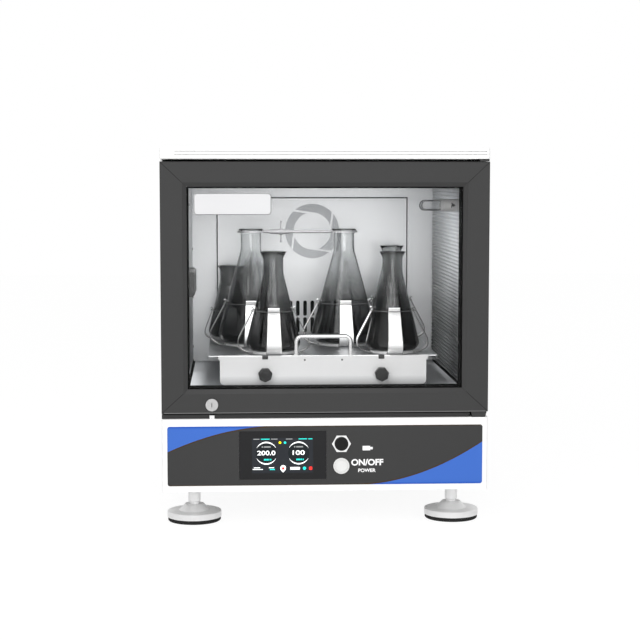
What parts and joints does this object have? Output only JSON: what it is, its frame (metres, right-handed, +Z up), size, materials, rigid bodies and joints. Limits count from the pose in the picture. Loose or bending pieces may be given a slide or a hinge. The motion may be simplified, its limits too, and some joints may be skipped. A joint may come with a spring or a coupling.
{
  "type": "shaking incubator",
  "caption": "Bench-top orbital shaking incubator with a glazed door, clamped flasks on a crank-driven platform, touch display and levelling feet.",
  "frame": {"origin": "middle of the footprint, on the surface that the feet stand on", "axes": "+Z up, the door and control panel face -Y, +X to the right seen from the front"},
  "size_m": [0.56, 0.646, 0.6501],
  "materials": {
    "white_paint": "fine-textured white powder coat",
    "door_grey": "satin dark grey powder coat",
    "fascia": "satin dark grey overlay with blue corners",
    "display": "smooth dark display glass",
    "white_plastic": "smooth white",
    "black_plastic": "fine matt moulding",
    "grey_plastic": "fine matt moulding",
    "dark_grey_plastic": "fine matt moulding, darker",
    "black_rubber": "matt moulded rubber",
    "door_glass": "clear flat glass",
    "lamp_glass": "clear drawn tube",
    "smoked_glass": "grey-tinted laboratory glass",
    "stainless": "fine brushed stainless",
    "stainless_ribbed": "pressed ribs in stainless",
    "apron_steel": "smooth light satin",
    "spring_steel": "bright sprung strip",
    "bright_metal": "polished plate",
    "foot_metal": "satin turned steel",
    "machined_steel": "turned and ground",
    "zinc_steel": "zinc plated sheet",
    "aluminium": "machined and cast",
    "circuit_board": "solder-masked laminate",
    "foam": "rigid insulation foam, closed in"
  },
  "bodies": {
    "cabinet": {"base_housing": "white_paint", "base_bottom_plate": "white_paint", "control_panel": "fascia", "display_module": "display", "power_switch_body": "white_plastic", "usb_socket": "bright_metal", "power_inlet": "black_plastic", "control_board": "circuit_board", "power_supply": "zinc_steel", "foot_discs": "foot_metal", "foot_pads": "black_rubber", "sill_strip": "door_grey", "latch_keeper": "bright_metal", "hinge_brackets": "door_grey", "front_flange": "white_paint", "cabinet_wrap": "white_paint", "top_cover": "white_paint", "chamber_liner": "stainless", "insulation": "foam", "ribbed_side_panel": "stainless_ribbed", "duct_cover": "stainless", "fan_motor": "zinc_steel", "heater": "zinc_steel", "lamp_holder": "grey_plastic", "lamp_glass": "lamp_glass", "sensor_guard": "dark_grey_plastic", "shaft_seals": "black_rubber", "drive_plate": "zinc_steel", "bearing_housings": "aluminium", "drive_motor": "zinc_steel", "drive_belt": "black_rubber"},
    "door": {"door_frame": "door_grey", "door_glass_outer": "door_glass", "door_glass_inner": "door_glass", "glass_spacer": "black_rubber", "door_gasket": "black_rubber", "lock_barrel": "bright_metal"},
    "door_lock": {"lock_cam": "bright_metal"},
    "power_button": {"power_button": "white_plastic"},
    "usb_cap": {"usb_cap": "black_plastic"},
    "drive_crank": {"drive_crank": "machined_steel", "drive_pulley": "aluminium"},
    "idler_left": {"idler_crank_left": "machined_steel"},
    "idler_right": {"idler_crank_right": "machined_steel"},
    "platform": {"carriage": "aluminium", "platform_tray": "stainless", "front_apron": "apron_steel", "apron_handle": "bright_metal", "flask_clamps": "spring_steel", "clamp_springs": "spring_steel", "flasks": "smoked_glass", "tie_rod": "bright_metal"},
    "knob_left": {"lock_knob_left": "black_plastic"},
    "knob_right": {"lock_knob_right": "black_plastic"},
    "motor_rotor": {"motor_pulley": "aluminium"},
    "fan_rotor": {"fan_impeller": "aluminium"},
    "foot_1": {"foot_stem_1": "foot_metal"},
    "foot_2": {"foot_stem_2": "foot_metal"},
    "foot_3": {"foot_stem_3": "foot_metal"},
    "foot_4": {"foot_stem_4": "foot_metal"}
  },
  "joints": [
    {"name": "door_hinge", "type": "hinge", "parent": "cabinet", "child": "door", "pos_m": [0.268, -0.305, 0.1992], "axis": [0, 0, 1], "range_deg": [0, 115]},
    {"name": "lock_turn", "type": "hinge", "parent": "door", "child": "door_lock", "pos_m": [-0.1944, -0.317, 0.214], "axis": [0, -1, 0], "range_deg": [0, 90]},
    {"name": "button_press", "type": "slide", "parent": "cabinet", "child": "power_button", "axis": [0, 1, 0], "range_m": [0, 0.003], "stiffness_N_per_m": 600},
    {"name": "cap_pull", "type": "slide", "parent": "cabinet", "child": "usb_cap", "axis": [0, -1, 0], "range_m": [0, 0.02]},
    {"name": "crank_spin", "type": "hinge", "parent": "cabinet", "child": "drive_crank", "pos_m": [0, 0.02, 0.2351], "axis": [0, 0, 1], "continuous": true},
    {"name": "platform_orbit", "type": "hinge", "parent": "drive_crank", "child": "platform", "pos_m": [0, 0.01, 0.2621], "axis": [0, 0, 1], "continuous": true},
    {"name": "idler_left_spin", "type": "hinge", "parent": "cabinet", "child": "idler_left", "pos_m": [-0.13, -0.11, 0.2351], "axis": [0, 0, 1], "continuous": true},
    {"name": "idler_right_spin", "type": "hinge", "parent": "cabinet", "child": "idler_right", "pos_m": [0.13, -0.11, 0.2351], "axis": [0, 0, 1], "continuous": true},
    {"name": "motor_spin", "type": "hinge", "parent": "cabinet", "child": "motor_rotor", "pos_m": [0.11, 0.095, 0.09], "axis": [0, 0, 1], "continuous": true},
    {"name": "fan_spin", "type": "hinge", "parent": "cabinet", "child": "fan_rotor", "pos_m": [0, 0.2, 0.4945], "axis": [0, 1, 0], "continuous": true},
    {"name": "knob_left_turn", "type": "hinge", "parent": "platform", "child": "knob_left", "pos_m": [-0.102, -0.255, 0.2575], "axis": [0, 1, 0], "continuous": true},
    {"name": "knob_right_turn", "type": "hinge", "parent": "platform", "child": "knob_right", "pos_m": [0.102, -0.255, 0.2575], "axis": [0, 1, 0], "continuous": true},
    {"name": "foot_1_turn", "type": "hinge", "parent": "cabinet", "child": "foot_1", "pos_m": [-0.227, -0.242, 0.064], "axis": [0, 0, 1], "continuous": true},
    {"name": "foot_2_turn", "type": "hinge", "parent": "cabinet", "child": "foot_2", "pos_m": [-0.227, 0.248, 0.064], "axis": [0, 0, 1], "continuous": true},
    {"name": "foot_3_turn", "type": "hinge", "parent": "cabinet", "child": "foot_3", "pos_m": [0.227, -0.242, 0.064], "axis": [0, 0, 1], "continuous": true},
    {"name": "foot_4_turn", "type": "hinge", "parent": "cabinet", "child": "foot_4", "pos_m": [0.227, 0.248, 0.064], "axis": [0, 0, 1], "continuous": true}
  ],
  "couplings": [
    {"joint": "platform_orbit", "follows": "crank_spin", "ratio": -1},
    {"joint": "idler_left_spin", "follows": "crank_spin", "ratio": 1},
    {"joint": "idler_right_spin", "follows": "crank_spin", "ratio": 1},
    {"joint": "motor_spin", "follows": "crank_spin", "ratio": 3}
  ]
}
